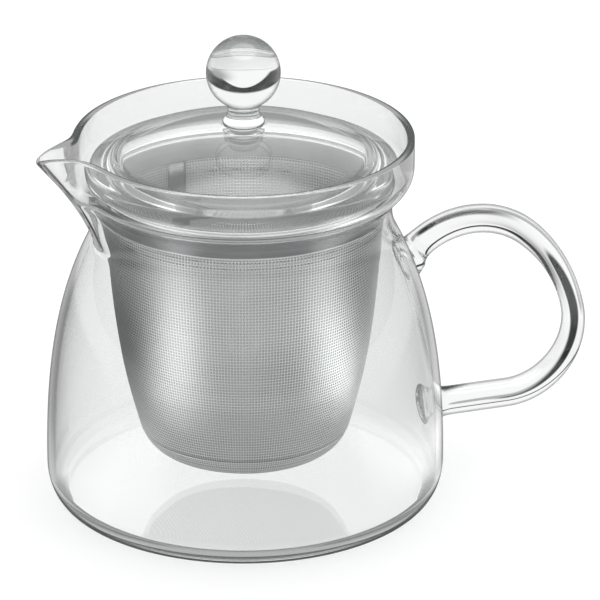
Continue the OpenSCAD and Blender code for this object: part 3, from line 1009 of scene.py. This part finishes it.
# The table's painted light where glass, metal and reflections see it, as (share of its own level over plain
# light, level, ovals);
# the ovals are painted pools of light and painted shade, each as (right, away, half width, half depth,
# turned clockwise by, softness, level).
PAINTED_IN_SOLID_GLASS = (
    1.0,
    0.0,
    (
        (0.0, 0.62, 0.20, 0.85, 0, 0.12, 0.95),
        (0.0, -1.6, 2.2, 1.4, 0, 0.2, 0.4),
        (0.02, 0.03, 0.36, 0.30, 0, 0.1, 0.95),
        (0.17, 0.02, 0.07, 0.07, 0, 0.5, 0.77),
        (0.20, 0.33, 0.10, 0.17, 0, 0.8, 0.35),
        (0.092, 0.14, 0.02, 0.075, 17, 0.15, 0.0),
        (0.057, 0.074, 0.012, 0.012, 0, 0.3, 0.4),
        (0.05, 0.008, 0.012, 0.022, 0, 0.2, 0.0),
        (-0.13, -0.17, 0.07, 0.07, 0, 0.4, 0.4),
    ),
)
PAINTED_THROUGH_WALLS = (0.8, 0.95, ((0.5, 0.1, 0.47, 0.9, 0, 0.12, 0.78),))
PAINTED_IN_METAL = (
    1.0,
    0.95,
    (
        (0.0, 0.0, 0.40, 0.40, 0, 0.5, 0.7),
        (-0.22, 0.09, 0.22, 0.12, 0, 0.35, 0.0),
        (0.20, 0.08, 0.09, 0.12, 0, 0.5, 0.0),
        (-0.10, -0.078, 0.085, 0.028, -45, 0.8, 2.3),
        (0.105, -0.035, 0.085, 0.026, 47, 0.8, 2.5),
        (0.0, 0.0, 0.06, 0.06, 0, 0.3, 0.45),
    ),
)
REFLECTED = (1.0, 0.7, ())

# The sky's level for surfaces that scatter light, then its levels by height for each other kind of light,
# from straight down (0) over the horizon (0.5) to straight up (1).
SKY_PLAIN = 0.9
SKY_LENS = ((0.0, 1.0), (1.0, 1.0))
SKY_THROUGH = ((0.0, 0.0), (0.51, 0.0), (0.54, 0.95), (1.0, 0.95))
SKY_WALLS = ((0.0, 0.9), (1.0, 0.9))
SKY_METAL = ((0.0, 0.1), (0.55, 0.2), (0.64, 1.4), (1.0, 1.4))
SKY_BARE = ((0.0, 0.7), (0.90, 0.7), (0.94, 4.0), (1.0, 4.0))

# The lamps, as (name, right, away, height, width, length, watts), aimed at the middle of the pot.
LAMP_AIM = Vector((0, 0, 0.05))
LAMPS = (
    ("lamp left", -0.95, -0.60, 0.50, 0.5, 1.1, 1.2),
    ("lamp right", 1.1, 0.05, 0.45, 0.5, 1.1, 1.2),
    ("lamp top", 0.0, 0.25, 1.2, 0.8, 0.8, 2.5),
)


class TEAPOT_OT_stage(bpy.types.Operator):
    """Lay the floor, hang the lamps, light the sky and place the lens"""

    bl_idname = "teapot.stage"
    bl_label = "Stage"

    def execute(self, context):
        c = colours()
        far = FLOOR_HALF
        corners = [(-far, -far, 0), (far, -far, 0), (far, far, 0), (-far, far, 0)]
        floor = mesh_piece("floor", corners, [(0, 1, 2, 3)], None, smooth=False)
        floor.location.z = -FLOOR_DROP
        looks = (PAINTED_IN_SOLID_GLASS, PAINTED_THROUGH_WALLS, PAINTED_IN_METAL, REFLECTED)
        floor.data.materials.append(pale_floor("pale floor", tuple(c.floor), SEEN_WHITE, looks))
        self.sky()
        self.lamps(c.lamp)
        self.lens()
        return {"FINISHED"}

    def sky(self):
        world = bpy.context.scene.world or bpy.data.worlds.new("studio")
        bpy.context.scene.world = world
        shade = Shade(world, "OutputWorld")
        parts = shade.add("SeparateXYZ", {0: shade.add("TexCoord").outputs["Generated"]})
        height = shade.math("ADD", shade.math("MULTIPLY", parts.outputs["Z"], 0.5), 0.5)
        lens, through, walls, metal, bare = light_kinds(shade)
        sky = shade.add("Background", {"Color": WHITE, "Strength": SKY_PLAIN}).outputs[0]
        for kind, stops in (
            (through, SKY_THROUGH),
            (walls, SKY_WALLS),
            (metal, SKY_METAL),
            (bare, SKY_BARE),
            (lens, SKY_LENS),
        ):
            seen = shade.add("Background", {"Color": shade.levels(height, stops), "Strength": 1.0})
            sky = shade.mix(kind, sky, seen.outputs[0])
        shade.surface(sky)

    def lamps(self, level):
        # The glass shows no lamp: they light the strainer and the table only.
        lit = bpy.data.collections.new("lit by lamps")
        for piece in bpy.context.scene.objects:
            if piece.name.startswith(("strainer_", "mesh_", "floor")):
                lit.objects.link(piece)
        for name, side, depth, height, width, tall, watts in LAMPS:
            data = bpy.data.lights.new(name, "AREA")
            data.shape = "RECTANGLE"
            data.size = width
            data.size_y = tall
            data.energy = watts * level
            lamp = bpy.data.objects.new(name, data)
            lamp.location = RIGHT * side + AWAY * depth + UP * height
            lamp.rotation_euler = (LAMP_AIM - lamp.location).to_track_quat("-Z", "Y").to_euler()
            lamp.visible_camera = False
            lamp.light_linking.receiver_collection = lit
            bpy.context.scene.collection.objects.link(lamp)

    def lens(self):
        # The pot stands a little left of the frame's middle, and a little high.
        data = bpy.data.cameras.new("lens")
        data.lens = FOCAL / FRAME * SENSOR
        data.sensor_width = SENSOR
        data.clip_start = 0.05
        data.clip_end = 50
        tilt = math.radians(LENS_TILT)
        forward = AWAY * math.cos(tilt) - UP * math.sin(tilt)
        over = AWAY * math.sin(tilt) + UP * math.cos(tilt)
        place = Vector((0, 0, LENS_AIM)) - forward * LENS_AWAY
        across, down = (FRAME / 2 - AIM_ACROSS) / FOCAL, (FRAME / 2 - AIM_DOWN) / FOCAL
        look = forward + RIGHT * across - over * down
        camera = bpy.data.objects.new("lens", data)
        camera.location = place
        camera.rotation_euler = look.to_track_quat("-Z", "Y").to_euler()
        bpy.context.scene.collection.objects.link(camera)
        bpy.context.scene.camera = camera
        bpy.context.scene.view_settings.view_transform = "Standard"


class TEAPOT_PT_panel(bpy.types.Panel):
    """Buttons for each piece, with the sizes and colours"""

    bl_idname = "TEAPOT_PT_panel"
    bl_label = "Teapot"
    bl_space_type = "VIEW_3D"
    bl_region_type = "UI"
    bl_category = "Teapot"

    def draw(self, context):
        column = self.layout.column()
        for operator in STEPS:
            column.operator(operator.bl_idname)
        for group in (context.scene.teapot_sizes, context.scene.teapot_colours):
            box = self.layout.box()
            for name in group.__annotations__:
                box.prop(group, name)


STEPS = (
    TEAPOT_OT_pot,
    TEAPOT_OT_handle,
    TEAPOT_OT_lid,
    TEAPOT_OT_strainer_ring,
    TEAPOT_OT_strainer_mesh,
    TEAPOT_OT_stage,
)
CLASSES = (TeapotSizes, TeapotColours, *STEPS, TEAPOT_PT_panel)


def register():
    for cls in CLASSES:
        bpy.utils.register_class(cls)
    bpy.types.Scene.teapot_sizes = PointerProperty(type=TeapotSizes)
    bpy.types.Scene.teapot_colours = PointerProperty(type=TeapotColours)


def unregister():
    del bpy.types.Scene.teapot_colours
    del bpy.types.Scene.teapot_sizes
    for cls in reversed(CLASSES):
        bpy.utils.unregister_class(cls)


def main():
    register()
    bpy.ops.teapot.pot()
    bpy.ops.teapot.handle()
    bpy.ops.teapot.lid()
    bpy.ops.teapot.strainer_ring()
    bpy.ops.teapot.strainer_mesh()
    bpy.ops.teapot.stage()


if __name__ == "__main__":
    main()
